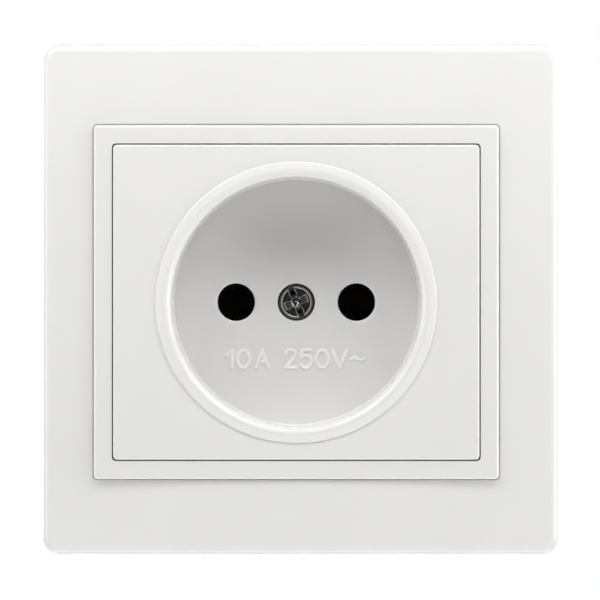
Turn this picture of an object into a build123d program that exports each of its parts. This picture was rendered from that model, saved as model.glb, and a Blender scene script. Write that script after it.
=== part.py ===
from build123d import *
import math
import os

# Flush wall socket for one plug with two round pins, without earth.
# X points right, Y points into the wall and Z points up. The wall's face is Y = 0,
# the origin is on the socket's axis, and the front of the socket looks along -Y.
# All lengths are in millimetres and all angles in degrees.

# Round well that takes the plug
pin_pitch = 19.0
pin_length = 19.0
pin_hole_r = 2.95
pin_hole_edge = 0.4
floor_margin = 6.34
well_depth = 12.05
well_draft = 0.3
well_fillet = 0.2
well_wall = 1.15
floor_thick = 2.0
rim_width = 2.34
rim_height = 0.55
rim_fall = 0.3
rim_round = 1.1
rim_edge = 0.2

# Cover plate around the well
cover_margin_x = 6.62
cover_margin_z = 2.64
cover_thick = 2.0
cover_corner = 0.65
cover_edge = 0.35
cover_gap = 0.2
rib_thick = 1.2
rib_drop = 2.6
rib_offset = 8.0
rib_clearance = 0.3

# Inner frame, a narrow border between cover and outer frame
border_width = 2.85
border_corner = 0.6
border_edge = 0.5
border_proud = 0.2
border_ledge = 1.5
leg_root = 0.8
cover_proud = 0.3
clip_width = 7.0
clip_thick = 1.2
clip_hook = 0.6
clip_hook_height = 0.8
clip_offset = 17.0
clip_clearance = 0.15

# Outer frame, whose four bands differ in width
band_left = 7.88
band_right = 9.28
band_top = 12.61
band_bottom = 11.68
frame_depth = 9.0
frame_crown = 0.8
frame_wall = 1.8
frame_corner = 2.6
frame_edge = 1.4
opening_edge = 0.3
frame_ledge = 1.5
frame_ledge_depth = 3.0
frame_ledge_thick = 1.6
groove = 0.1

# Cover screw and the parts that it passes through
cover_screw_head_r = 2.8
cover_screw_head_height = 2.0
cover_screw_sunk = 0.5
cover_screw_r = 1.45
cover_screw_length = 12.0
cover_screw_turn = -112.0
thread_clearance = 0.05
head_clearance = 0.15
screw_hole_clearance = 0.2
boss_wall = 1.4
seat_thick = 1.6
insert_r = 2.75
insert_length = 7.0
insert_waist_depth = 0.4
insert_waist_length = 1.4

# Steel mounting plate
plate_thick = 1.0
plate_edge = 2.5
plate_corner = 7.0
plate_clearance = 0.4
box_slot_width = 3.6
box_slot_length = 5.0
box_slot_inset = 6.2
claw_screw_inset = 4.34

# Black base that carries the contacts
piece_gap = 0.2
base_side_gap = 5.0
base_wall = 1.8
base_corner = 2.5
base_edge = 0.8
ear_margin = 1.0
ear_thick = 3.0
ear_lap = 1.2
ear_corner = 2.0
contact_cover_thick = 1.8
contact_cover_wall = 1.6
contact_cover_hole_r = 3.1

# Rivets that hold the base to the plate
rivet_r = 1.5
rivet_head_r = 2.4
rivet_head_height = 0.8
rivet_offset = 8.0
rivet_clearance = 0.3

# Countersunk screws that hold the contact cover
small_screw_r = 1.25
small_screw_head_r = 2.3
small_screw_head_height = 1.3
small_screw_length = 8.0
small_screw_offset = 11.5
small_screw_slot = 0.5
small_screw_turn = 35.0

# Contacts, their spring clips and the terminals
strip_thick = 0.8
leaf_gap = 3.9
leaf_width = 6.2
leaf_length = 10.0
leaf_start = 2.6
leaf_flare = 1.0
leaf_lip = 1.6
chamber_clearance = 0.5
clip_strip = 0.45
clip_length = 3.0
clip_start = 2.2
clip_reach = 2.0
terminal_drop = 13.5
terminal_size = 6.0
tab_lap = 1.2
tab_thick = 1.4
terminal_recess = 6.0
clamp_thick = 1.0
clamp_corner = 0.6
terminal_screw_r = 1.75
terminal_head_r = 2.9
terminal_head_height = 2.0
terminal_screw_reach = 4.0
terminal_screw_turn = 20.0
wire_slot_width = 3.6

# Spreading claws, their screws and nuts
claw_width = 10.0
claw_thick = 1.2
claw_ear_inset = 2.4
claw_leg_gap = 0.7
claw_front = 8.2
claw_tooth_out = 1.4
claw_tooth_length = 3.0
claw_bend = 1.2
notch_pitch = 3.0
notch_width = 2.0
notch_depth = 1.4
claw_travel = 7.5
ramp_angle = 23.0
ramp_width = 2.0
ramp_clearance = 0.15
claw_fork_clearance = 0.2
claw_lip_thick = 0.9
claw_lip_height = 1.2
claw_screw_r = 1.5
claw_screw_head_r = 2.5
claw_screw_head_height = 2.0
claw_screw_tail = 1.4
claw_screw_turn = 35.0
nut_size = 5.0
nut_thick = 1.8
nut_clearance = 0.05

# Screw tips, and the recesses in the screw heads
screw_tip = 0.4
head_round = 0.55
slot_width = 0.9
slot_depth = 0.7
cross_width = 1.0
cross_depth = 1.3
cross_span = 3.7
cross_foot = 1.6

# Sizes and planes that follow from the values above
pin_x = pin_pitch / 2
lean = math.tan(math.radians(well_draft))
foot_run = well_fillet / math.tan(math.radians(90 + well_draft) / 2)
well_r = pin_x + pin_hole_r + pin_hole_edge + floor_margin + foot_run + well_depth * lean
rim_r = well_r + rim_width
cover_w = 2 * (rim_r + cover_margin_x)
cover_h = 2 * (rim_r + cover_margin_z)
border_in_w = cover_w + 2 * cover_gap
border_in_h = cover_h + 2 * cover_gap
border_w = border_in_w + 2 * border_width
border_h = border_in_h + 2 * border_width
opening_w = border_w + 2 * groove
opening_h = border_h + 2 * groove
frame_w = opening_w + band_left + band_right
frame_h = opening_h + band_bottom + band_top
frame_x = (band_right - band_left) / 2
frame_z = (band_top - band_bottom) / 2
ledge_w = opening_w - 2 * frame_ledge
ledge_h = opening_h - 2 * frame_ledge

frame_front = -frame_depth
crown_r = ((frame_w / 2) ** 2 + frame_crown**2) / (2 * frame_crown)
border_front = frame_front - border_proud
cover_front = border_front - cover_proud
cover_back = cover_front + cover_thick
crest = cover_front - rim_height
floor = crest + well_depth
floor_back = floor + floor_thick
frame_ledge_top = frame_front + frame_ledge_depth
frame_ledge_back = frame_ledge_top + frame_ledge_thick
plate_front = -plate_thick
base_front = floor_back + piece_gap
contact_cover_back = base_front + contact_cover_thick
chamber_back = floor + pin_length + piece_gap
base_back = chamber_back + base_wall

wall_across = well_wall / math.cos(math.radians(well_draft))
well_outer_at_plate = well_r - (plate_front - crest) * lean + wall_across
plate_hole_r = well_outer_at_plate + plate_clearance
claw_x = well_r + claw_screw_inset
box_pitch = 2 * (claw_x + box_slot_inset)
plate_size = box_pitch + box_slot_length + 2 * plate_edge
base_half_x = claw_x - base_side_gap
base_half_z = plate_hole_r + ear_lap
rivet_z = base_half_z + rivet_head_r + rivet_clearance
ear_half_x = rivet_offset + rivet_r + ear_margin
ear_half_z = rivet_z + rivet_r + ear_margin

screw_head_top = floor + cover_screw_sunk
screw_seat = screw_head_top + cover_screw_head_height
boss_r = cover_screw_head_r + head_clearance + boss_wall
boss_back = screw_seat + seat_thick
insert_front = boss_back + piece_gap

leaf_front = contact_cover_back + leaf_start
leaf_back = leaf_front + leaf_length
leaf_outer = leaf_gap / 2 + strip_thick
clip_front = leaf_front + clip_start
clip_back = clip_front + clip_length
link_front = clip_back + piece_gap
web_x = pin_x + leaf_width / 2
link_x = web_x + strip_thick
chamber_half_z = leaf_outer + leaf_flare + chamber_clearance
chamber_in = pin_x - leaf_width / 2 - chamber_clearance
chamber_out = link_x + clip_strip + chamber_clearance
tab_back = base_back - terminal_recess
tab_size = terminal_size + 2 * tab_lap
terminal_x = link_x - tab_size / 2
clamp_back = tab_back + clamp_thick
terminal_z = -terminal_drop
window_size = terminal_size + 2 * piece_gap

ramp = math.tan(math.radians(ramp_angle))
ramp_rear = base_back - claw_ear_inset / 2
ear_front = base_back - claw_ear_inset
ear_back = ear_front + claw_thick
claw_in_x = base_half_x + (ramp_rear - ear_front) * ramp + ramp_clearance
claw_leg_x = claw_x + nut_size / 2 + claw_leg_gap
claw_forward = claw_travel * math.cos(math.radians(ramp_angle))
nut_front = ear_back + nut_clearance
claw_screw_end = nut_front + nut_thick + claw_screw_tail
fork_half = claw_screw_r + claw_fork_clearance


# Shapes drawn as seen from the front and run from one depth to another
def slab(outline, front, back):
    return Pos(0, back, 0) * extrude(Plane.XZ * outline, back - front)


# A rod or hole along Y
def rod(r, front, back, x=0.0, z=0.0):
    return Pos(x, 0, z) * slab(Circle(r), front, back)


# A block given by its lowest and highest corners
def block(x0, x1, y0, y1, z0, z1):
    middle = Pos((x0 + x1) / 2, (y0 + y1) / 2, (z0 + z1) / 2)
    return middle * Box(x1 - x0, y1 - y0, z1 - z0)


# A ring or dish turned about the socket's axis from (radius, Y) points
def turned(points):
    return revolve(make_face(Polyline(*points, close=True)), Axis.Y)


# The edges of a shape that lie flat at one depth
def edges_at(shape, y):
    return shape.edges().filter_by_position(Axis.Y, y - 0.001, y + 0.001)


def round_front(shape, y, radius):
    return fillet(edges_at(shape, y), radius)


# Radius of the well's inner wall at a depth
def well_r_at(y):
    return well_r - (y - crest) * lean


# Raised rim: the crest is at the well's mouth, its face falls a little and ends in a small step
def rim_ring():
    curve_r = (rim_width**2 + rim_fall**2) / (2 * rim_fall)
    half = math.atan2(rim_fall, rim_width)
    middle_x = well_r + curve_r * math.sin(half)
    middle_y = crest + curve_r * (1 - math.cos(half))
    inside = well_r - well_wall
    step = crest + rim_fall
    face = ThreePointArc((well_r, crest), (middle_x, middle_y), (rim_r, step))
    rest = Polyline((rim_r, step), (rim_r, cover_back), (inside, cover_back), (inside, crest), (well_r, crest))
    ring = revolve(make_face(face + rest), Axis.Y)
    return fillet(edges_at(ring, step), rim_edge)


# The well's inside, from in front of the rim down to the floor, with its rounded foot
def well_hollow():
    top = crest - well_wall
    cone = turned([(0, top), (well_r_at(top), top), (well_r_at(floor), floor), (0, floor)])
    return fillet(edges_at(cone, floor), well_fillet)


# The well's outside, a wall's thickness away from the inside
def well_shell():
    outside = [well_r_at(y) + wall_across for y in (cover_back, floor_back)]
    cone = turned([(0, cover_back), (outside[0], cover_back), (outside[1], floor_back), (0, floor_back)])
    return fillet(edges_at(cone, floor_back), well_fillet + well_wall)


# White front cover: plate, rim, well, pin holes and the sunk seat for its screw, in one moulding
def front_cover():
    plate = round_front(
        slab(RectangleRounded(cover_w, cover_h, cover_corner), cover_front, cover_back), cover_front, cover_edge
    )
    shape = plate + rim_ring() + well_shell() + rod(boss_r, floor, boss_back)
    rib_end = border_in_w / 2 - border_ledge - rib_clearance
    for side in (-1, 1):
        for z in (-rib_offset, rib_offset):
            ends = sorted((side * well_r_at(cover_back), side * rib_end))
            half = rib_thick / 2
            shape += block(*ends, cover_back, cover_back + rib_drop, z - half, z + half)
    shape -= well_hollow()
    mouth = shape.edges().filter_by(GeomType.CIRCLE)
    mouth = mouth.filter_by(lambda e: abs(e.radius - well_r) < 0.01)
    shape = fillet(mouth, rim_round)
    for side in (-1, 1):
        shape -= rod(pin_hole_r, floor, floor_back, side * pin_x)
    holes = edges_at(shape, floor).filter_by(lambda e: abs(e.radius - pin_hole_r) < 0.01)
    shape = fillet(holes, pin_hole_edge)
    shape -= rod(cover_screw_head_r + head_clearance, floor, screw_seat)
    shape -= rod(cover_screw_r + screw_hole_clearance, screw_seat, boss_back)
    return shape


# Inner frame: border with a ledge for the cover, and hooked legs that snap behind the outer frame's ledge
def inner_frame():
    outside = RectangleRounded(border_w, border_h, border_corner)
    shape = slab(outside, border_front, frame_ledge_top)
    shape = round_front(shape, border_front, border_edge)
    shape -= slab(RectangleRounded(border_in_w, border_in_h, cover_corner), border_front, cover_back)
    ledge_in_w = border_in_w - 2 * border_ledge
    ledge_in_h = border_in_h - 2 * border_ledge
    shape -= slab(RectangleRounded(ledge_in_w, ledge_in_h, cover_corner), cover_back, frame_ledge_top)
    leg_out = ledge_h / 2 - clip_clearance
    hook_front = frame_ledge_back + clip_clearance
    hook_back = hook_front + clip_hook_height
    for top in (-1, 1):
        for side in (-1, 1):
            x = side * clip_offset
            across = (x - clip_width / 2, x + clip_width / 2)
            leg = sorted((top * (leg_out - clip_thick), top * leg_out))
            hook = sorted((top * (leg_out - clip_thick), top * (leg_out + clip_hook)))
            shape += block(*across, frame_ledge_top - leg_root, hook_back, *leg)
            shape += block(*across, hook_front, hook_back, *hook)
    return shape


# A ball whose foremost point lies at a depth, for the frame's slightly domed face
def crown(front):
    return Pos(frame_x, front + crown_r, frame_z) * Sphere(crown_r)


# Outline of the frame, drawn in from its edge by a distance
def frame_outline(inset, corner):
    return Pos(frame_x, frame_z) * RectangleRounded(frame_w - 2 * inset, frame_h - 2 * inset, corner)


# Wires of the domed face: the outer one round the frame, the inner one round the opening
def face_wires(shape):
    face = shape.faces().filter_by(GeomType.SPHERE).sort_by(Axis.Y)[0]
    return face.outer_wire(), face.inner_wires()


# Outer frame: hollow square moulding with a domed face, rounded edges and a ledge in its opening
def outer_frame():
    shape = slab(frame_outline(0, frame_corner), frame_front, 0) & crown(frame_front)
    shape = fillet(face_wires(shape)[0].edges(), frame_edge)
    shape -= slab(RectangleRounded(opening_w, opening_h, border_corner), frame_front, 0)
    shape = fillet(face_wires(shape)[1][0].edges(), opening_edge)
    cavity = slab(frame_outline(frame_wall, frame_corner / 2), frame_front, 0)
    shape -= cavity & crown(frame_front + frame_wall)
    collar_w = opening_w + 2 * frame_wall
    collar_h = opening_h + 2 * frame_wall
    collar_front = frame_front + frame_wall
    shape += (
        slab(RectangleRounded(collar_w, collar_h, border_corner), collar_front, frame_ledge_back)
        - slab(RectangleRounded(opening_w, opening_h, border_corner), collar_front, frame_ledge_top)
        - slab(RectangleRounded(ledge_w, ledge_h, border_corner), frame_ledge_top, frame_ledge_back)
    )
    return shape


# Straight slot and tapered cross cut into a screw head whose face looks along -Y
def driver_recess(head_r, head_top, turn):
    half = cross_span / 2
    foot = cross_foot / 2
    deep = head_top + cross_depth
    arm = Polyline((-half, head_top), (half, head_top), (foot, deep), (-foot, deep), close=True)
    cross = Pos(0, 0, -cross_width / 2) * extrude(make_face(arm), cross_width)
    slot = block(-head_r, head_r, head_top, head_top + slot_depth, -slot_width / 2, slot_width / 2)
    return Rot(0, turn, 0) * (slot + cross + Rot(0, 90, 0) * cross)


# Pan-head screw along +Y: head between head_top and its seat, shank from the seat to its end
def pan_screw(head_r, head_height, shank_r, head_top, end, turn):
    seat = head_top + head_height
    head = round_front(rod(head_r, head_top, seat), head_top, head_round)
    shank = rod(shank_r, seat, end)
    shank = chamfer(edges_at(shank, end), screw_tip)
    return head - driver_recess(head_r, head_top, turn) + shank


def cover_screw():
    end = screw_seat + cover_screw_length
    head = (cover_screw_head_r, cover_screw_head_height)
    return pan_screw(*head, cover_screw_r, screw_head_top, end, cover_screw_turn)


# Steel plate that is screwed or clawed to the wall box
def mounting_plate():
    outline = RectangleRounded(plate_size, plate_size, plate_corner)
    shape = slab(outline, plate_front, 0)
    shape -= rod(plate_hole_r, plate_front, 0)
    for side in (-1, 1):
        slot = SlotOverall(box_slot_length, box_slot_width)
        shape -= slab(Pos(side * box_pitch / 2, 0) * slot, plate_front, 0)
        shape -= slab(Pos(0, side * box_pitch / 2) * Rot(0, 0, 90) * slot, plate_front, 0)
        shape -= rod(claw_screw_r + screw_hole_clearance, plate_front, 0, side * claw_x)
    for x, z in rivet_places():
        shape -= rod(rivet_r, plate_front, 0, x, z)
    return shape


def rivet_places():
    return [(x, z) for x in (-rivet_offset, rivet_offset) for z in (-rivet_z, rivet_z)]


# Four rivets through plate and base ears, with a head in front and an upset end behind
def base_rivets():
    solids = []
    for x, z in rivet_places():
        head = rod(rivet_head_r, plate_front - rivet_head_height, plate_front, x, z)
        shank = rod(rivet_r, plate_front, ear_thick, x, z)
        tail = rod(rivet_head_r, ear_thick, ear_thick + rivet_head_height, x, z)
        solids.append(
            round_front(head, plate_front - rivet_head_height, rivet_head_height / 2) + shank + tail
        )
    return Compound(children=solids)


def small_screw_places():
    return [-small_screw_offset, small_screw_offset]


# The open space for one contact: its spring chamber, the way down and the terminal's room
def contact_room(side):
    front = contact_cover_back
    spring = block(chamber_in, chamber_out, front, chamber_back, -chamber_half_z, chamber_half_z)
    half_tab = tab_size / 2 + piece_gap
    room_low = terminal_z - half_tab
    room_in = terminal_x - half_tab
    way = block(web_x - chamber_clearance, chamber_out, front, tab_back, terminal_z, 0)
    terminal = block(room_in, chamber_out, front, tab_back, room_low, terminal_z + half_tab)
    half_window = window_size / 2
    window = block(
        terminal_x - half_window,
        terminal_x + half_window,
        tab_back,
        base_back,
        terminal_z - half_window,
        terminal_z + half_window,
    )
    half_wire = wire_slot_width / 2
    wire = block(
        terminal_x - half_wire, terminal_x + half_wire, tab_back, base_back, -base_half_z, terminal_z
    )
    room = spring + way + terminal + window + wire
    return room if side > 0 else mirror(room, Plane.YZ)


# Sloping fins beside one claw screw, which push the claw outwards as it is drawn forward
def ramp_fins(side):
    slope_front = ear_front - claw_forward
    slope_x = base_half_x + (ramp_rear - slope_front) * ramp
    inside = base_half_x - base_wall
    outline = Polyline(
        (inside, slope_front - base_wall),
        (slope_x, slope_front - base_wall),
        (slope_x, slope_front),
        (base_half_x, ramp_rear),
        (inside, ramp_rear),
        close=True,
    )
    fin = extrude(make_face(outline), ramp_width)
    start = claw_width / 2 - ramp_width
    fins = Pos(0, 0, start) * fin + Pos(0, 0, -start - ramp_width) * fin
    return fins if side > 0 else mirror(fins, Plane.YZ)


# Black base: block with rooms for the contacts, ears for the rivets and ramps for the claws
def base_body():
    outline = RectangleRounded(2 * base_half_x, 2 * base_half_z, base_corner)
    shape = slab(outline, base_front, base_back)
    shape = fillet(edges_at(shape, base_back), base_edge)
    width = (-ear_half_x, ear_half_x)
    ears = RectangleRounded(2 * ear_half_x, 2 * ear_half_z, ear_corner)
    shape += slab(ears, 0, ear_thick) - block(*width, 0, ear_thick, -plate_hole_r, plate_hole_r)
    for top in (-1, 1):
        root = sorted((top * plate_hole_r, top * base_half_z))
        shape += block(*width, 0, contact_cover_back, *root)
    shape -= slab(contact_cover_outline(piece_gap), base_front, contact_cover_back)
    for side in (-1, 1):
        shape += ramp_fins(side)
        shape -= contact_room(side)
    shape -= rod(boss_r + piece_gap, base_front, insert_front)
    insert_end = insert_front + insert_length
    shape -= rod(insert_r, insert_front, insert_end)
    screw_end = screw_seat + cover_screw_length + piece_gap
    shape -= rod(cover_screw_r + screw_hole_clearance, insert_end, screw_end)
    for z in small_screw_places():
        small_end = base_front + small_screw_length + piece_gap
        shape -= rod(small_screw_r + thread_clearance, contact_cover_back, small_end, 0, z)
    for x, z in rivet_places():
        shape -= rod(rivet_r, 0, ear_thick, x, z)
    return shape


def contact_cover_outline(clearance):
    half_x = base_half_x - contact_cover_wall + clearance
    half_z = base_half_z - contact_cover_wall + clearance
    return RectangleRounded(2 * half_x, 2 * half_z, base_corner - contact_cover_wall / 2)


# Black inner cover that closes the contact rooms, with a hole for each pin
def contact_cover():
    shape = slab(contact_cover_outline(0), base_front, contact_cover_back)
    for side in (-1, 1):
        shape -= rod(contact_cover_hole_r, base_front, contact_cover_back, side * pin_x)
    shape -= rod(boss_r + piece_gap, base_front, contact_cover_back)
    for z in small_screw_places():
        shape -= Pos(0, 0, z) * countersunk(thread_clearance, contact_cover_back)
    return shape


# Countersunk head and shank about the axis, grown by a clearance
def countersunk(clearance, end):
    cone_back = base_front + small_screw_head_height
    head_r = small_screw_head_r + clearance
    shank_r = small_screw_r + clearance
    return turned([(0, base_front), (head_r, base_front), (shank_r, cone_back), (shank_r, end), (0, end)])


def contact_cover_screws():
    end = base_front + small_screw_length
    half_slot = small_screw_slot / 2
    reach = (-small_screw_head_r, small_screw_head_r)
    slot = block(*reach, base_front, base_front + small_screw_slot, -half_slot, half_slot)
    screw = countersunk(0, end) - Rot(0, small_screw_turn, 0) * slot
    return Compound(children=[Pos(0, 0, z) * screw for z in small_screw_places()])


# Threaded brass insert in the base, which the cover screw goes into
def centre_insert():
    end = insert_front + insert_length
    body = rod(insert_r, insert_front, end)
    middle = insert_front + insert_length / 2
    waist = rod(insert_r, middle - insert_waist_length / 2, middle + insert_waist_length / 2)
    waist -= rod(insert_r - insert_waist_depth, insert_front, end)
    return body - waist - rod(cover_screw_r + thread_clearance, insert_front, end)


# Brass contact: two sprung leaves with flared lips, a web beside them and a tab under the screw
def contact(side):
    half = leaf_gap / 2
    lip = leaf_front + leaf_lip
    profile = Polyline(
        (leaf_back, half),
        (lip, half),
        (leaf_front, half + leaf_flare),
        (leaf_front, half + leaf_flare + strip_thick),
        (lip, leaf_outer),
        (leaf_back, leaf_outer),
        close=True,
    )
    leaf_in = pin_x - leaf_width / 2
    leaf = Pos(leaf_in, 0, 0) * extrude(Plane.YZ * make_face(profile), link_x - leaf_in)
    shape = leaf + mirror(leaf, Plane.XY)
    shape += block(web_x, link_x, lip, leaf_back, -leaf_outer, leaf_outer)
    tab_front = tab_back - tab_thick
    half_tab = tab_size / 2
    tab_low = terminal_z - half_tab
    shape += block(web_x, link_x, link_front, tab_back, tab_low, 0)
    shape += block(terminal_x - half_tab, link_x, tab_front, tab_back, tab_low, terminal_z + half_tab)
    shape -= rod(terminal_screw_r + thread_clearance, tab_front, tab_back, terminal_x, terminal_z)
    return shape if side > 0 else mirror(shape, Plane.YZ)


# Steel spring clip that presses the leaves of one contact together
def contact_clip(side):
    out = leaf_outer + clip_strip
    shape = block(pin_x - clip_reach, link_x + clip_strip, clip_front, clip_back, -out, out)
    shape -= block(pin_x - leaf_width, link_x, clip_front, clip_back, -leaf_outer, leaf_outer)
    return shape if side > 0 else mirror(shape, Plane.YZ)


# Square clamp plate between the terminal screw's head and the contact's tab
def terminal_clamp(side):
    plate = RectangleRounded(terminal_size, terminal_size, clamp_corner)
    shape = slab(Pos(side * terminal_x, terminal_z) * plate, tab_back, clamp_back)
    hole = rod(terminal_screw_r + screw_hole_clearance, tab_back, clamp_back, side * terminal_x, terminal_z)
    return shape - hole


# Terminal screw, turned from the back
def terminal_screw(side):
    front_end = tab_back - terminal_screw_reach
    head_end = clamp_back + terminal_head_height
    head = (terminal_head_r, terminal_head_height)
    screw = pan_screw(*head, terminal_screw_r, -head_end, -front_end, terminal_screw_turn * side)
    return Pos(side * terminal_x, 0, terminal_z) * (Rot(0, 0, 180) * screw)


# Steel claw: forked ear round its screw, leg along the base and a toothed end bent outwards
def claw(side):
    leg_out = claw_leg_x + claw_thick
    front = claw_front
    side_view = Polyline(
        (claw_in_x, ear_front),
        (claw_leg_x, ear_front),
        (claw_leg_x, front + claw_tooth_length),
        (claw_leg_x + claw_tooth_out, front),
        (leg_out + claw_tooth_out, front + claw_thick / 2),
        (leg_out, front + claw_tooth_length + claw_thick / 2),
        (leg_out, ear_back),
        (claw_in_x, ear_back),
        close=True,
    )
    shape = Pos(0, 0, -claw_width / 2) * extrude(make_face(side_view), claw_width)
    outer_bend = edges_at(shape, ear_back).filter_by(Axis.Z).sort_by(Axis.X)[-1]
    shape = fillet(outer_bend, claw_bend)
    shape -= block(claw_in_x, claw_x, ear_front, ear_back, -fork_half, fork_half)
    shape -= rod(fork_half, ear_front, ear_back, claw_x)
    lip_in = nut_size / 2 + piece_gap
    for z in (lip_in, -lip_in - claw_lip_thick):
        lip_end = (ear_back - claw_thick / 2, ear_back + claw_lip_height)
        shape += block(claw_in_x, claw_leg_x, *lip_end, z, z + claw_lip_thick)
    for n in (-1, 0, 1):
        z = n * notch_pitch
        half = notch_width / 2
        notch = Polyline((z - half, front), (z, front + notch_depth), (z + half, front), close=True)
        shape -= Pos(claw_x, 0, 0) * extrude(Plane.ZY * make_face(notch), leg_out, both=True)
    return shape if side > 0 else mirror(shape, Plane.YZ)


def claw_nut(side):
    half = nut_size / 2
    nut_back = nut_front + nut_thick
    shape = block(claw_x - half, claw_x + half, nut_front, nut_back, -half, half)
    shape -= rod(claw_screw_r + thread_clearance, nut_front, nut_back, claw_x)
    return shape if side > 0 else mirror(shape, Plane.YZ)


def claw_screw(side):
    head_top = plate_front - claw_screw_head_height
    head = (claw_screw_head_r, claw_screw_head_height)
    screw = pan_screw(*head, claw_screw_r, head_top, claw_screw_end, claw_screw_turn * side)
    return Pos(side * claw_x, 0, 0) * screw


pieces = {
    "outer_frame": outer_frame(),
    "inner_frame": inner_frame(),
    "front_cover": front_cover(),
    "cover_screw": cover_screw(),
    "mounting_plate": mounting_plate(),
    "base_rivets": base_rivets(),
    "base_body": base_body(),
    "contact_cover": contact_cover(),
    "contact_cover_screws": contact_cover_screws(),
    "centre_insert": centre_insert(),
}
for side, name in ((-1, "left"), (1, "right")):
    pieces["contact_" + name] = contact(side)
    pieces["contact_clip_" + name] = contact_clip(side)
    pieces["terminal_clamp_" + name] = terminal_clamp(side)
    pieces["terminal_screw_" + name] = terminal_screw(side)
    pieces["claw_" + name] = claw(side)
    pieces["claw_nut_" + name] = claw_nut(side)
    pieces["claw_screw_" + name] = claw_screw(side)

os.makedirs("parts", exist_ok=True)
for name, shape in pieces.items():
    export_step(shape, f"parts/{name}.step")
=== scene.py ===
import math

import bpy
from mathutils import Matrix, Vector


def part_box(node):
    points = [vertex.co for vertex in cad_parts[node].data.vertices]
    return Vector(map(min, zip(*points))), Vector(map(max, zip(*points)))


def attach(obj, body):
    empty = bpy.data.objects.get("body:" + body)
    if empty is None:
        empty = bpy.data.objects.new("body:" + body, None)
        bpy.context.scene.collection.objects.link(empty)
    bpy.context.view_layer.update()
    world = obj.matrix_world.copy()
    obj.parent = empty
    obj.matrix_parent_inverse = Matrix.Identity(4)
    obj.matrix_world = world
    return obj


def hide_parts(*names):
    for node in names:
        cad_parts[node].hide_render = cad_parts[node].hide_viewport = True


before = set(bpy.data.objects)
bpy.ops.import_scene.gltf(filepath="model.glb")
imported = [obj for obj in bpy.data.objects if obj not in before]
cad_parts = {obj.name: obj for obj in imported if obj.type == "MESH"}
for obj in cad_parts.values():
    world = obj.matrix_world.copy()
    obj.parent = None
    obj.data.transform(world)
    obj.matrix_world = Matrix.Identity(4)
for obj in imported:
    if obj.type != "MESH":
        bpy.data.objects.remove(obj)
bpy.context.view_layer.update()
bpy.ops.object.select_all(action="DESELECT")

# Base body and inner cover: two mouldings of black phenolic, pressed hot and tumbled, so their
# skin is satin with a fine grain and their edges are rubbed a little paler. The base is riveted
# to the plate through its ears, the inner cover is screwed down over the contact rooms.
BLACK = (0.012, 0.012, 0.013, 1)
BLACK_DUST = (0.025, 0.024, 0.023, 1)
BLACK_RUBBED = (0.085, 0.083, 0.080, 1)
BLACK_RUBBED_MOST = 0.55
BLACK_ROUGH = (0.34, 0.52)
BLACK_SHEEN = 0.3
BLACK_EDGE = 0.0005
BLACK_GRAIN = 0.00006


def new_group(name, sockets):
    """A shader group with its own input and output sockets and their starting values."""
    group = bpy.data.node_groups.new(name, "ShaderNodeTree")
    for label, way, start in sockets:
        kind = "NodeSocketColor" if isinstance(start, tuple) else "NodeSocketFloat"
        socket = group.interface.new_socket(name=label, in_out=way, socket_type=kind)
        if way == "INPUT":
            socket.default_value = start
    return group


def add_node(tree, kind, settings=None, **inputs):
    """A node with its settings. Its inputs are values or sockets to link, by name or as i and a number."""
    node = tree.nodes.new(kind)
    for key, value in (settings or {}).items():
        setattr(node, key, value)
    for key, value in inputs.items():
        socket = node.inputs[int(key[1:])] if key[1:].isdigit() else node.inputs[key.replace("_", " ")]
        if isinstance(value, bpy.types.NodeSocket):
            tree.links.new(value, socket)
        else:
            socket.default_value = value
    return node


def ramp(tree, value, start, end):
    """A mask that is 0 where the value is at its start and 1 where it is at its end."""
    made = add_node(tree, "ShaderNodeMapRange", Value=value, From_Min=start, From_Max=end)
    return made.outputs["Result"]


def spread(tree, value, low, high):
    """Stretches a 0 to 1 value between two others."""
    made = add_node(tree, "ShaderNodeMapRange", Value=value, To_Min=low, To_Max=high)
    return made.outputs["Result"]


def blend_colour(tree, mask, first, second):
    """The first colour where the mask is 0 and the second where it is 1."""
    mix = add_node(tree, "ShaderNodeMix", {"data_type": "RGBA"}, i0=mask, i6=first, i7=second)
    return mix.outputs[2]


def bump(tree, shader, height, strength, distance):
    """Fine relief under the finish."""
    made = add_node(tree, "ShaderNodeBump", Strength=strength, Distance=distance, Height=height)
    tree.links.new(made.outputs["Normal"], shader.inputs["Normal"])


def moulded_skin():
    """What a moulding tool leaves: cloudy patches, small specks and a fine even grain."""
    noise_low, noise_high = 0.3, 0.7
    group = new_group("moulded_skin", [
        ("Cloud Scale", "INPUT", 60.0),
        ("Speck Scale", "INPUT", 700.0),
        ("Grain Scale", "INPUT", 5200.0),
        ("Cloud", "OUTPUT", 0.0),
        ("Speck", "OUTPUT", 0.0),
        ("Grain", "OUTPUT", 0.0),
    ])
    given = group.nodes.new("NodeGroupInput")
    made = group.nodes.new("NodeGroupOutput")
    place = add_node(group, "ShaderNodeTexCoord").outputs["Object"]
    for label, detail, rough in (("Cloud", 3.0, 0.55), ("Speck", 2.0, 0.6), ("Grain", 2.0, 0.5)):
        noise = add_node(group, "ShaderNodeTexNoise", Vector=place, Scale=given.outputs[label + " Scale"],
                         Detail=detail, Roughness=rough)
        group.links.new(ramp(group, noise.outputs["Fac"], noise_low, noise_high), made.inputs[label])
    return group


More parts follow.
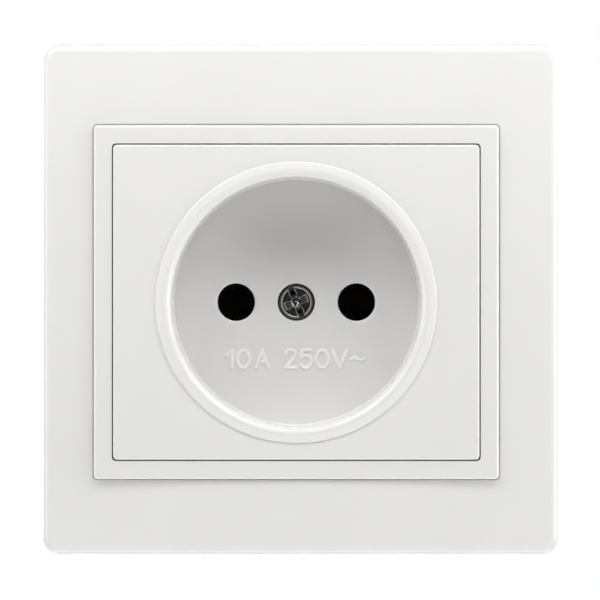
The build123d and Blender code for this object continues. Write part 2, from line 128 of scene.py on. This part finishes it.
def rubbed_edge():
    """A mask of the outer edges that handling rubs: there a rounded normal leaves the real one."""
    edge_starts, edge_full = 0.98, 0.8
    patch_scale, patch_low, patch_high = 900.0, 0.35, 0.6
    group = new_group("rubbed_edge", [
        ("Width", "INPUT", 0.0004),
        ("Break Up", "INPUT", 0.5),
        ("Mask", "OUTPUT", 0.0),
    ])
    given = group.nodes.new("NodeGroupInput")
    made = group.nodes.new("NodeGroupOutput")
    place = add_node(group, "ShaderNodeTexCoord").outputs["Object"]
    rounded = add_node(group, "ShaderNodeBevel", {"samples": 4}, Radius=given.outputs["Width"])
    true = add_node(group, "ShaderNodeNewGeometry")
    along = add_node(group, "ShaderNodeVectorMath", {"operation": "DOT_PRODUCT"},
                     i0=rounded.outputs["Normal"], i1=true.outputs["Normal"])
    edge = ramp(group, along.outputs["Value"], edge_starts, edge_full)
    noise = add_node(group, "ShaderNodeTexNoise", Vector=place, Scale=patch_scale, Detail=3.0)
    patch = ramp(group, noise.outputs["Fac"], patch_low, patch_high)
    broken = add_node(group, "ShaderNodeMath", {"operation": "MULTIPLY"}, i0=edge, i1=patch)
    mask = add_node(group, "ShaderNodeMix", Factor=given.outputs["Break Up"],
                    A=edge, B=broken.outputs["Value"])
    group.links.new(mask.outputs["Result"], made.inputs["Mask"])
    return group


def new_finish(name):
    """An empty material with its Principled shader, ready for the piece's own nodes."""
    finish = bpy.data.materials.new(name)
    finish.use_nodes = True
    tree = finish.node_tree
    return finish, tree, tree.nodes["Principled BSDF"]


def use_group(tree, group, **inputs):
    """Places a shared group in a material with that material's own values."""
    return add_node(tree, "ShaderNodeGroup", {"node_tree": group}, **inputs)


def dress(node, finish):
    """Gives a CAD node its finish."""
    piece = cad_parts[node]
    piece.data.materials.clear()
    piece.data.materials.append(finish)


skin = moulded_skin()
rub = rubbed_edge()
phenolic, tree, shader = new_finish("black_phenolic")
face = use_group(tree, skin, Cloud_Scale=90.0, Speck_Scale=1500.0, Grain_Scale=4200.0)
edge = use_group(tree, rub, Width=BLACK_EDGE, Break_Up=0.8)
dusty = blend_colour(tree, face.outputs["Speck"], BLACK, BLACK_DUST)
worn = spread(tree, edge.outputs["Mask"], 0.0, BLACK_RUBBED_MOST)
tree.links.new(blend_colour(tree, worn, dusty, BLACK_RUBBED), shader.inputs["Base Color"])
tree.links.new(spread(tree, face.outputs["Cloud"], *BLACK_ROUGH), shader.inputs["Roughness"])
shader.inputs["Specular IOR Level"].default_value = BLACK_SHEEN
bump(tree, shader, face.outputs["Grain"], strength=0.25, distance=BLACK_GRAIN)
dress("base_body", phenolic)
dress("contact_cover", phenolic)

# Ejector marks: the tool's pins pushed the base out by its back, and each left a shallow dish
# with a fine raised burr round it in the black moulding.
MARK_RADIUS = 0.0017
MARK_BURR = 0.00012
MARK_DISH = 0.9 * MARK_BURR
MARK_PLACES = ((-0.013, 0.017), (0.013, 0.017), (-0.013, -0.001), (0.013, -0.001), (0, 0.008), (0, -0.019))
FACES_BACK = 0.9


def ejector_mark(number, place):
    """A low disc half sunk in the base's back, with a dish pressed into its outer face."""
    bpy.ops.mesh.primitive_cylinder_add(vertices=40, radius=MARK_RADIUS, depth=2 * MARK_BURR,
                                        location=place, rotation=(math.pi / 2, 0, 0))
    mark = bpy.context.object
    mark.name = f"ejector_mark_{number}"
    bpy.ops.object.transform_apply(location=True, rotation=True, scale=True)
    bpy.ops.object.mode_set(mode="EDIT")
    bpy.ops.mesh.select_all(action="DESELECT")
    bpy.ops.object.mode_set(mode="OBJECT")
    for polygon in mark.data.polygons:
        polygon.select = polygon.normal.y > FACES_BACK
    bpy.ops.object.mode_set(mode="EDIT")
    bpy.ops.mesh.inset(thickness=MARK_BURR)
    bpy.ops.mesh.inset(thickness=MARK_BURR, depth=-MARK_DISH)
    bpy.ops.object.mode_set(mode="OBJECT")
    burr = mark.modifiers.new("burr", "BEVEL")
    burr.width = MARK_BURR / 4
    burr.segments = 2
    burr.limit_method = "ANGLE"
    burr.angle_limit = math.radians(30)
    bpy.ops.object.modifier_apply(modifier="burr")
    bpy.ops.object.shade_smooth_by_angle(angle=math.radians(35))
    mark.data.materials.append(phenolic)
    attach(mark, "socket")
    bpy.ops.object.select_all(action="DESELECT")


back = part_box("base_body")[1][1]
for number, (x, z) in enumerate(MARK_PLACES, 1):
    ejector_mark(number, (x, back, z))

# Contacts and the centre insert: strip brass, stamped and folded, and a turned threaded insert.
# The brass is bright from the tool and tarnished a little in patches. At the leaves' mouths it is painted
# near black as shade inside the pin holes.
BRASS = (0.74, 0.54, 0.22, 1)
BRASS_TARNISH = (0.42, 0.26, 0.09, 1)
BRASS_TARNISH_MOST = 0.6
BRASS_PAINTED_SHADE = (0.05, 0.042, 0.034, 1)
BRASS_ROUGH = (0.2, 0.36)
LEAF_MOUTH = 0.0022
ROLLED_LINES = 0.00002


def worked_metal():
    """Strip and sheet as rolled and plated: fine lines along the sheet, stains and crystal patches."""
    line_stretch = (1.0, 1.0, 0.03)
    line_low, line_high = 0.3, 0.7
    stain_low, stain_high = 0.42, 0.68
    group = new_group("worked_metal", [
        ("Line Scale", "INPUT", 3000.0),
        ("Stain Scale", "INPUT", 120.0),
        ("Crystal Scale", "INPUT", 900.0),
        ("Line", "OUTPUT", 0.0),
        ("Stain", "OUTPUT", 0.0),
        ("Crystal", "OUTPUT", 0.0),
    ])
    given = group.nodes.new("NodeGroupInput")
    made = group.nodes.new("NodeGroupOutput")
    place = add_node(group, "ShaderNodeTexCoord").outputs["Object"]
    drawn = add_node(group, "ShaderNodeMapping", Vector=place, Scale=line_stretch)
    lines = add_node(group, "ShaderNodeTexNoise", Vector=drawn.outputs["Vector"],
                     Scale=given.outputs["Line Scale"], Detail=3.0)
    stains = add_node(group, "ShaderNodeTexNoise", Vector=place,
                      Scale=given.outputs["Stain Scale"], Detail=4.0)
    crystals = add_node(group, "ShaderNodeTexVoronoi", Vector=place, Scale=given.outputs["Crystal Scale"])
    group.links.new(ramp(group, lines.outputs["Fac"], line_low, line_high), made.inputs["Line"])
    group.links.new(ramp(group, stains.outputs["Fac"], stain_low, stain_high), made.inputs["Stain"])
    parted = add_node(group, "ShaderNodeSeparateColor", Color=crystals.outputs["Color"])
    group.links.new(parted.outputs["Red"], made.inputs["Crystal"])
    return group


metal = worked_metal()
brass, tree, shader = new_finish("drawn_brass")
face = use_group(tree, metal, Line_Scale=2600.0, Stain_Scale=260.0)
tarnish = spread(tree, face.outputs["Stain"], 0.0, BRASS_TARNISH_MOST)
tarnished = blend_colour(tree, tarnish, BRASS, BRASS_TARNISH)
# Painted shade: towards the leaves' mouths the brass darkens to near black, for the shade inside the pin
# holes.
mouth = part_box("contact_left")[0][1]
coords = add_node(tree, "ShaderNodeTexCoord")
deep = add_node(tree, "ShaderNodeSeparateXYZ", Vector=coords.outputs["Object"])
mouth_painted_shade = ramp(tree, deep.outputs["Y"], mouth + LEAF_MOUTH, mouth)
tree.links.new(blend_colour(tree, mouth_painted_shade, tarnished, BRASS_PAINTED_SHADE), shader.inputs["Base Color"])
tree.links.new(spread(tree, face.outputs["Line"], *BRASS_ROUGH), shader.inputs["Roughness"])
shader.inputs["Metallic"].default_value = 1.0
bump(tree, shader, face.outputs["Line"], strength=0.2, distance=ROLLED_LINES)
for node in ("contact_left", "contact_right", "centre_insert"):
    dress(node, brass)

# Spring clips on the contacts: hard steel strip, blued a little where it was tempered. Each clip
# is folded round one contact and presses its leaves together.
SPRING = (0.40, 0.39, 0.38, 1)
SPRING_BLUED = (0.17, 0.19, 0.24, 1)
SPRING_BLUED_MOST = 0.7
SPRING_ROUGH = (0.24, 0.4)

spring, tree, shader = new_finish("spring_steel")
face = use_group(tree, metal, Line_Scale=3200.0, Stain_Scale=180.0)
blued = spread(tree, face.outputs["Stain"], 0.0, SPRING_BLUED_MOST)
tree.links.new(blend_colour(tree, blued, SPRING, SPRING_BLUED), shader.inputs["Base Color"])
tree.links.new(spread(tree, face.outputs["Line"], *SPRING_ROUGH), shader.inputs["Roughness"])
shader.inputs["Metallic"].default_value = 1.0
bump(tree, shader, face.outputs["Line"], strength=0.2, distance=ROLLED_LINES)
for node in ("contact_clip_left", "contact_clip_right"):
    dress(node, spring)

# Plate, claws, rivets, nuts and small screws: steel, zinc plated after stamping, so it is pale
# blue-grey with small crystal patches, faint rolling lines, dull stains and bright rubbed edges.
ZINC = (0.50, 0.52, 0.54, 1)
ZINC_DULL = (0.40, 0.41, 0.42, 1)
ZINC_DULL_MOST = 0.75
ZINC_BRIGHT = (0.72, 0.73, 0.74, 1)
ZINC_CRYSTAL_MOST = 0.22
ZINC_ROUGH = (0.28, 0.42)
ZINC_EDGE = 0.00035
ZINC_LINES = 0.00003

zinc, tree, shader = new_finish("zinc_plated_steel")
face = use_group(tree, metal, Line_Scale=2400.0, Stain_Scale=260.0, Crystal_Scale=900.0)
edge = use_group(tree, rub, Width=ZINC_EDGE, Break_Up=0.6)
stained = blend_colour(tree, spread(tree, face.outputs["Stain"], 0.0, ZINC_DULL_MOST), ZINC, ZINC_DULL)
crystal = spread(tree, face.outputs["Crystal"], 0.0, ZINC_CRYSTAL_MOST)
patched = blend_colour(tree, crystal, stained, ZINC_BRIGHT)
tree.links.new(blend_colour(tree, edge.outputs["Mask"], patched, ZINC_BRIGHT), shader.inputs["Base Color"])
tree.links.new(spread(tree, face.outputs["Crystal"], *ZINC_ROUGH), shader.inputs["Roughness"])
shader.inputs["Metallic"].default_value = 1.0
bump(tree, shader, face.outputs["Line"], strength=0.3, distance=ZINC_LINES)
for node in ("mounting_plate", "base_rivets", "contact_cover_screws", "terminal_clamp_left",
             "terminal_clamp_right", "terminal_screw_left", "terminal_screw_right", "claw_left",
             "claw_right", "claw_nut_left", "claw_nut_right"):
    dress(node, zinc)

# Claw screws: long zinc-plated machine screws. Each keeps its CAD head, its shank is drawn in to
# the thread's root, and the thread is rolled round it as one ridge from under the plate to the tip.
THREAD_CREST = 0.0015
THREAD_ROOT = 0.00124
THREAD_SUNK = 0.00006
THREAD_PITCH = 0.0005
THREAD_FOOT = 0.92 * THREAD_PITCH
THREAD_FLAT = 0.00006
THREAD_STEPS = 20
THREAD_START = 0.0035
THREAD_RUNOUT = 0.0004
THREAD_TIP_GAP = 0.0005


def thread_ridge(axis_x, axis_z, tip):
    """The thread alone: its outline wound round the screw's axis, with both ends closed."""
    bpy.ops.mesh.primitive_circle_add(vertices=4, radius=THREAD_PITCH / 2, fill_type="NOTHING",
                                      location=(THREAD_ROOT, 0, 0), rotation=(math.pi / 2, 0, 0))
    ridge = bpy.context.object
    bpy.ops.object.transform_apply(location=True, rotation=True, scale=True)
    foot = THREAD_ROOT - THREAD_SUNK
    corners = ((foot, -THREAD_FOOT / 2), (THREAD_CREST, -THREAD_FLAT / 2),
               (THREAD_CREST, THREAD_FLAT / 2), (foot, THREAD_FOOT / 2))
    for vertex, (x, z) in zip(ridge.data.vertices, corners):
        vertex.co = (x, 0, z)
    wind = ridge.modifiers.new("wind", "SCREW")
    wind.angle = math.tau
    wind.screw_offset = THREAD_PITCH
    wind.iterations = int((tip - THREAD_TIP_GAP - THREAD_START) / THREAD_PITCH)
    wind.steps = wind.render_steps = THREAD_STEPS
    wind.use_smooth_shade = False
    bpy.ops.object.modifier_apply(modifier="wind")
    bpy.ops.object.mode_set(mode="EDIT")
    bpy.ops.mesh.select_all(action="SELECT")
    bpy.ops.mesh.fill_holes(sides=0)
    bpy.ops.mesh.select_all(action="SELECT")
    bpy.ops.mesh.normals_make_consistent(inside=False)
    bpy.ops.object.mode_set(mode="OBJECT")
    ridge.rotation_euler = (-math.pi / 2, 0, 0)
    ridge.location = (axis_x, THREAD_START, axis_z)
    bpy.ops.object.transform_apply(location=True, rotation=True, scale=True)
    bpy.ops.object.select_all(action="DESELECT")
    return ridge


def copy_of_node(node, name):
    """A copy of a CAD node with joined corners, selected and open for shaping in edit mode."""
    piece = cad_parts[node].copy()
    piece.data = piece.data.copy()
    piece.name = name
    bpy.context.collection.objects.link(piece)
    bpy.context.view_layer.objects.active = piece
    piece.select_set(True)
    bpy.ops.object.mode_set(mode="EDIT")
    bpy.ops.mesh.select_all(action="SELECT")
    bpy.ops.mesh.remove_doubles(threshold=0.000001)
    bpy.ops.mesh.customdata_custom_splitnormals_clear()
    return piece


def threaded_screw(node):
    """A copy of a screw's CAD node with a rolled thread on its shank."""
    low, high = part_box(node)
    axis_x, axis_z = (low[0] + high[0]) / 2, (low[2] + high[2]) / 2
    ridge = thread_ridge(axis_x, axis_z, high[1])
    screw = copy_of_node(node, node + "_threaded")
    for cut in (THREAD_START - THREAD_RUNOUT, THREAD_START):
        bpy.ops.mesh.select_all(action="SELECT")
        bpy.ops.mesh.bisect(plane_co=(0, cut, 0), plane_no=(0, 1, 0))
    bpy.ops.mesh.select_all(action="DESELECT")
    bpy.ops.object.mode_set(mode="OBJECT")
    for vertex in screw.data.vertices:
        out = math.hypot(vertex.co.x - axis_x, vertex.co.z - axis_z)
        vertex.select = vertex.co.y > THREAD_START - THREAD_RUNOUT / 2 and out > THREAD_ROOT
    bpy.ops.object.mode_set(mode="EDIT")
    bpy.ops.transform.resize(value=(THREAD_ROOT / THREAD_CREST, 1, THREAD_ROOT / THREAD_CREST),
                             center_override=(axis_x, 0, axis_z))
    bpy.ops.object.mode_set(mode="OBJECT")
    ridge.select_set(True)
    bpy.ops.object.join()
    bpy.ops.object.shade_smooth_by_angle(angle=math.radians(35))
    screw.data.materials.clear()
    screw.data.materials.append(zinc)
    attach(screw, "socket")
    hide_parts(node)
    bpy.ops.object.select_all(action="DESELECT")


for node in ("claw_screw_left", "claw_screw_right"):
    threaded_screw(node)

# Cover screw: a pan-head screw of nickel-plated steel that runs through the cover into the brass
# insert. Its flat face is polished and mirrors the dark camera hood. Its flank is dull and painted
# dark grey as shade, and its recess was punched, which left a rough floor.
FACE_EDGE = 0.0022
FACE_SHRINK = 0.965
SCREW_EDGE = 0.00007
NICKEL = (0.60, 0.59, 0.57, 1)
NICKEL_DULL = (0.44, 0.43, 0.41, 1)
NICKEL_ROUGH = (0.07, 0.12)
FLANK_PAINTED_SHADE = (0.12, 0.117, 0.114, 1)
FLANK_ROUGH = 0.32
FACE_TURN = (-0.978, -0.945)
RING_OUT = 0.00233
RING_FADE = 1.02
RECESS_FLOOR = 0.00105
RECESS_FADE = 0.8
PUNCHED_SCALE = 1500.0
PUNCHED_DEPTH = 0.00011

# The rim of the face is drawn in a little and all edges are broken, which leaves the bright line
# round the face.
low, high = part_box("cover_screw")
axis_x, axis_z = (low[0] + high[0]) / 2, (low[2] + high[2]) / 2
polished = copy_of_node("cover_screw", "cover_screw_polished")
bpy.ops.mesh.dissolve_limited(angle_limit=math.radians(0.5))
bpy.ops.mesh.select_all(action="DESELECT")
bpy.ops.object.mode_set(mode="OBJECT")
for vertex in polished.data.vertices:
    out = math.hypot(vertex.co.x - axis_x, vertex.co.z - axis_z)
    vertex.select = vertex.co.y < low[1] + SCREW_EDGE and out > FACE_EDGE
bpy.ops.object.mode_set(mode="EDIT")
bpy.ops.transform.resize(value=(FACE_SHRINK, 1, FACE_SHRINK), center_override=(axis_x, 0, axis_z))
bpy.ops.object.mode_set(mode="OBJECT")
edges = polished.modifiers.new("broken_edges", "BEVEL")
edges.width = SCREW_EDGE
edges.segments = 2
edges.limit_method = "ANGLE"
edges.angle_limit = math.radians(40)
edges.use_clamp_overlap = False
bpy.ops.object.modifier_apply(modifier="broken_edges")
bpy.ops.object.shade_smooth_by_angle(angle=math.radians(20))

# The dull finish covers what turns away from the front and all that lies outside the face, and
# there the colour is a painted shade of dark grey. The rough skin sets in just above the recess's floor.
nickel, tree, shader = new_finish("nickel_plated_screw")
coords = add_node(tree, "ShaderNodeTexCoord")
turned = add_node(tree, "ShaderNodeSeparateXYZ", Vector=coords.outputs["Normal"])
steep = ramp(tree, turned.outputs["Y"], *FACE_TURN)
flat_place = add_node(tree, "ShaderNodeVectorMath", {"operation": "MULTIPLY"},
                      i0=coords.outputs["Object"], i1=(1, 0, 1))
from_axis = add_node(tree, "ShaderNodeVectorMath", {"operation": "DISTANCE"},
                     i0=flat_place.outputs["Vector"], i1=(axis_x, 0, axis_z))
outer = ramp(tree, from_axis.outputs["Value"], RING_OUT, RING_OUT * RING_FADE)
dull_and_shaded = add_node(tree, "ShaderNodeMath", {"operation": "MAXIMUM"}, i0=steep, i1=outer)
flank_dull_and_shaded = dull_and_shaded.outputs["Value"]
face = use_group(tree, metal, Line_Scale=5200.0, Stain_Scale=700.0)
polish = blend_colour(tree, face.outputs["Stain"], NICKEL, NICKEL_DULL)
# Painted shade: the flank and all outside the face take a dark grey colour instead of the nickel.
tree.links.new(blend_colour(tree, flank_dull_and_shaded, polish, FLANK_PAINTED_SHADE), shader.inputs["Base Color"])
gloss = spread(tree, face.outputs["Line"], *NICKEL_ROUGH)
rough = add_node(tree, "ShaderNodeMix", Factor=flank_dull_and_shaded, A=gloss, B=FLANK_ROUGH)
tree.links.new(rough.outputs["Result"], shader.inputs["Roughness"])
shader.inputs["Metallic"].default_value = 1.0
deep = add_node(tree, "ShaderNodeSeparateXYZ", Vector=coords.outputs["Object"])
recess = ramp(tree, deep.outputs["Y"], low[1] + RECESS_FLOOR * RECESS_FADE, low[1] + RECESS_FLOOR)
punched = add_node(tree, "ShaderNodeTexNoise", Vector=coords.outputs["Object"],
                   Scale=PUNCHED_SCALE, Detail=1.0)
height = add_node(tree, "ShaderNodeMath", {"operation": "MULTIPLY"}, i0=punched.outputs["Fac"], i1=recess)
bump(tree, shader, height.outputs["Value"], strength=1.0, distance=PUNCHED_DEPTH)
polished.data.materials.clear()
polished.data.materials.append(nickel)
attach(polished, "socket")
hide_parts("cover_screw")
bpy.ops.object.select_all(action="DESELECT")

# Front cover, inner frame and outer frame: glossy white plastic from polished tools. Its skin
# has only the faintest cloudiness and orange peel, and the gloss breaks up a little.
WHITE = (0.805, 0.80, 0.79, 1)
WHITE_CLOUD = (0.785, 0.78, 0.772, 1)
WHITE_ROUGH = (0.17, 0.24)
WHITE_PEEL = 0.00002

white, tree, shader = new_finish("glossy_white_plastic")
face = use_group(tree, skin, Cloud_Scale=55.0, Speck_Scale=600.0, Grain_Scale=2600.0)
tree.links.new(blend_colour(tree, face.outputs["Cloud"], WHITE, WHITE_CLOUD), shader.inputs["Base Color"])
tree.links.new(spread(tree, face.outputs["Speck"], *WHITE_ROUGH), shader.inputs["Roughness"])
shader.inputs["IOR"].default_value = 1.5
bump(tree, shader, face.outputs["Grain"], strength=0.06, distance=WHITE_PEEL)
for node in ("front_cover", "inner_frame", "outer_frame"):
    dress(node, white)

# Rating figures: raised in the same white plastic on the well's floor, below the screw. They
# were cut into the tool with a round cutter, so each stroke is a low rounded ridge. Their white is
# painted lighter than the floor's, a painted highlight for the lit tops of the strokes.
FLOOR_Y = 0.002
FIGURE_PAINTED_LIGHT = (0.89, 0.885, 0.875, 1)
FIGURE_ROUGH = (0.4, 0.55)
FIGURE_GRAIN = 0.00002
STROKE_RADIUS = 0.00032
STROKE_RELIEF = 0.00019
STROKE_VOXEL = 0.00006
MM_PER_METRE = 1000

# A stroke is closed or open, and runs through points across and up from the screw's axis, in mm.
TOP, FOOT, BAR, WAVE = -7.61, -10.37, -9.50, -9.0
STROKES = (
    (False, ((-11.15, -8.50), (-10.22, TOP))),
    (False, ((-10.15, TOP), (-10.15, FOOT))),
    (True, ((-8.33, TOP), (-7.53, -8.30), (-7.53, -9.70), (-8.33, FOOT), (-9.13, -9.70), (-9.13, -8.30))),
    (False, ((-6.36, FOOT), (-5.41, TOP))),
    (False, ((-5.41, TOP), (-4.42, FOOT))),
    (False, ((-6.00, BAR), (-4.75, BAR))),
    (False, ((-1.66, -8.25), (-1.50, -7.75), (-0.90, TOP), (-0.25, -7.80), (-0.20, -8.50), (-0.75, -9.30),
             (-1.66, FOOT))),
    (False, ((-1.66, FOOT), (-0.05, FOOT))),
    (False, ((2.30, TOP), (0.95, TOP))),
    (False, ((0.92, TOP), (0.80, -8.75))),
    (False, ((0.80, -8.75), (1.35, -8.50), (2.15, -8.70), (2.38, -9.45), (1.95, -10.20), (1.20, FOOT),
             (0.72, -9.95))),
    (True, ((4.13, TOP), (4.95, -8.30), (4.95, -9.70), (4.13, FOOT), (3.31, -9.70), (3.31, -8.30))),
    (False, ((5.68, TOP), (6.86, FOOT))),
    (False, ((6.86, FOOT), (8.05, TOP))),
    (False, ((8.70, WAVE), (9.10, WAVE + 0.22), (9.65, WAVE), (10.20, WAVE - 0.22), (10.65, WAVE))),
)


def on_the_floor(x, z):
    """The place of a stroke's point on the well's floor."""
    return x / MM_PER_METRE, FLOOR_Y, z / MM_PER_METRE


def drawn_strokes():
    """All strokes as round rods, with a ball at each free end, in one mesh."""
    pen = bpy.data.curves.new("rating_figures", "CURVE")
    pen.dimensions = "3D"
    pen.bevel_depth = STROKE_RADIUS
    pen.bevel_resolution = 3
    pen.resolution_u = 6
    pen.use_fill_caps = True
    for closed, points in STROKES:
        curved = len(points) > 2
        stroke = pen.splines.new("BEZIER" if curved else "POLY")
        held = stroke.bezier_points if curved else stroke.points
        held.add(len(points) - 1)
        stroke.use_cyclic_u = closed
        for point, (x, z) in zip(held, points):
            point.co = on_the_floor(x, z) if curved else (*on_the_floor(x, z), 1)
            if curved:
                point.handle_left_type = point.handle_right_type = "AUTO"
    drawn = bpy.data.objects.new("rating_strokes", pen)
    bpy.context.collection.objects.link(drawn)
    bpy.context.view_layer.objects.active = drawn
    drawn.select_set(True)
    bpy.ops.object.convert(target="MESH")
    rods = bpy.context.object
    rods.name = "rating_figures"
    for closed, points in STROKES:
        for x, z in (() if closed else (points[0], points[-1])):
            bpy.ops.mesh.primitive_uv_sphere_add(segments=16, ring_count=10, radius=STROKE_RADIUS,
                                                 location=on_the_floor(x, z))
            rods.select_set(True)
            bpy.context.view_layer.objects.active = rods
            bpy.ops.object.join()
    bpy.ops.object.transform_apply(location=True, rotation=True, scale=True)
    return rods


figures = drawn_strokes()
melt = figures.modifiers.new("melt", "REMESH")
melt.mode = "VOXEL"
melt.voxel_size = STROKE_VOXEL
melt.use_smooth_shade = True
bpy.ops.object.modifier_apply(modifier="melt")
soften = figures.modifiers.new("soften", "SMOOTH")
soften.iterations = 2
bpy.ops.object.modifier_apply(modifier="soften")
bpy.ops.object.mode_set(mode="EDIT")
bpy.ops.mesh.select_all(action="SELECT")
bpy.ops.transform.resize(value=(1, STROKE_RELIEF / STROKE_RADIUS, 1), center_override=(0, FLOOR_Y, 0))
bpy.ops.object.mode_set(mode="OBJECT")
painted_light_plastic, tree, shader = new_finish("raised_white_painted_light")
face = use_group(tree, skin, Cloud_Scale=300.0, Speck_Scale=1200.0, Grain_Scale=3000.0)
# Painted highlight: the strokes take a lighter white than the floor, for their lit tops.
tree.links.new(blend_colour(tree, face.outputs["Cloud"], FIGURE_PAINTED_LIGHT, WHITE), shader.inputs["Base Color"])
tree.links.new(spread(tree, face.outputs["Speck"], *FIGURE_ROUGH), shader.inputs["Roughness"])
bump(tree, shader, face.outputs["Grain"], strength=0.1, distance=FIGURE_GRAIN)
figures.data.materials.clear()
figures.data.materials.append(painted_light_plastic)
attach(figures, "socket")
bpy.ops.object.select_all(action="DESELECT")

# Studio: the socket hangs in a white room over a pale floor. The room is seen as plain white, also
# in glossy faces, but it lights the socket only weakly, so that the lamps shape it.
ROOM_WHITE = (1, 1, 1, 1)
ROOM_LIGHT = 0.14
FLOOR_DROP = 0.4
FLOOR_RADIUS = 0.7
FLOOR_PALE = (0.86, 0.86, 0.86, 1)
MATT_ROUGH = 0.9

world = bpy.data.worlds.new("white_room")
bpy.context.scene.world = world
world.use_nodes = True
tree = world.node_tree
ray = add_node(tree, "ShaderNodeLightPath")
seen = add_node(tree, "ShaderNodeMath", {"operation": "MAXIMUM"},
                i0=ray.outputs["Is Camera Ray"], i1=ray.outputs["Is Glossy Ray"])
shown = add_node(tree, "ShaderNodeMath", {"operation": "MAXIMUM"},
                 i0=seen.outputs["Value"], i1=ray.outputs["Is Transmission Ray"])
background = tree.nodes["Background"]
background.inputs["Color"].default_value = ROOM_WHITE
tree.links.new(spread(tree, shown.outputs["Value"], ROOM_LIGHT, 1.0), background.inputs["Strength"])

bpy.ops.mesh.primitive_circle_add(vertices=96, radius=FLOOR_RADIUS, fill_type="NGON",
                                  location=(0, 0, -FLOOR_DROP))
floor = bpy.context.object
floor.name = "studio_floor"
bpy.ops.object.transform_apply(location=True, rotation=True, scale=True)
paper, tree, shader = new_finish("pale_floor")
shader.inputs["Base Color"].default_value = FLOOR_PALE
shader.inputs["Roughness"].default_value = MATT_ROUGH
floor.data.materials.append(paper)

# Camera hood: a round black cloth behind the lens. Only mirror-like faces see it, as they do in a
# product photograph, and it darkens the polished face of the cover screw.
HOOD_SIZE = 0.36
HOOD_PLACE = (0, -0.67, 0)
HOOD_BLACK = (0.01, 0.01, 0.01, 1)

bpy.ops.mesh.primitive_circle_add(vertices=64, radius=HOOD_SIZE / 2, fill_type="NGON",
                                  location=HOOD_PLACE, rotation=(math.pi / 2, 0, 0))
hood = bpy.context.object
hood.name = "camera_hood"
bpy.ops.object.transform_apply(location=True, rotation=True, scale=True)
cloth, tree, shader = new_finish("black_hood")
shader.inputs["Base Color"].default_value = HOOD_BLACK
shader.inputs["Roughness"].default_value = MATT_ROUGH
hood.data.materials.append(cloth)
hood.visible_camera = hood.visible_diffuse = hood.visible_shadow = hood.visible_transmission = False

# Lamps: soft rectangles round the socket, all turned to its middle. The two strongest stand high in
# front, the low ones open the shadows, and the last three light the back.
LAMPS = (
    ("near_top_lamp", (0, -0.10, 0.14), (0.3, 0.05), 0.137),
    ("top_left_lamp", (-0.28, -0.25, 0.35), (0.3, 0.3), 0.98),
    ("top_right_lamp", (0.28, -0.25, 0.35), (0.3, 0.3), 0.93),
    ("left_lamp", (-0.4, -0.1, 0), (0.2, 0.2), 0.435),
    ("right_lamp", (0.4, -0.1, 0), (0.2, 0.2), 0.69),
    ("low_front_lamp", (0, -0.4, -0.28), (0.5, 0.25), 0.30),
    ("low_left_lamp", (-0.28, -0.2, -0.28), (0.25, 0.25), 0.06),
    ("low_right_lamp", (0.28, -0.2, -0.28), (0.25, 0.25), 0.085),
    ("low_lamp", (0, -0.06, -0.25), (0.3, 0.12), 0.295),
    ("back_left_lamp", (-0.25, 0.45, 0.08), (0.3, 0.3), 0.85),
    ("back_right_lamp", (0.25, 0.45, 0.08), (0.3, 0.3), 0.6),
    ("back_low_lamp", (0, 0.4, -0.25), (0.4, 0.2), 0.15),
)


def soft_lamp(name, place, size, power):
    """A soft rectangular lamp at a place, with its size in metres and its power in watts."""
    bpy.ops.object.light_add(type="AREA", location=place)
    lamp = bpy.context.object
    lamp.name = name
    lamp.data.shape = "RECTANGLE"
    lamp.data.size, lamp.data.size_y = size
    lamp.data.energy = power
    x, y, z = place
    lamp.rotation_euler = (math.atan2(math.hypot(x, y), z), 0, math.atan2(-y, -x) - math.pi / 2)


for name, place, size, power in LAMPS:
    soft_lamp(name, place, size, power)

# Camera: straight in front of the wall plane with a long lens, as the photograph was taken. Its
# place and lens put the socket's outline where the photograph has it.
CAMERA_PLACE = (0.00058, -0.65, 0.00034)
LENS = 247.9
SENSOR_WIDTH = 36.0
NEAREST_SEEN = 0.01

bpy.ops.object.camera_add(location=CAMERA_PLACE, rotation=(math.pi / 2, 0, 0))
camera = bpy.context.object
camera.data.lens = LENS
camera.data.sensor_width = SENSOR_WIDTH
camera.data.clip_start = NEAREST_SEEN
bpy.context.scene.camera = camera
bpy.context.scene.view_settings.view_transform = "Standard"
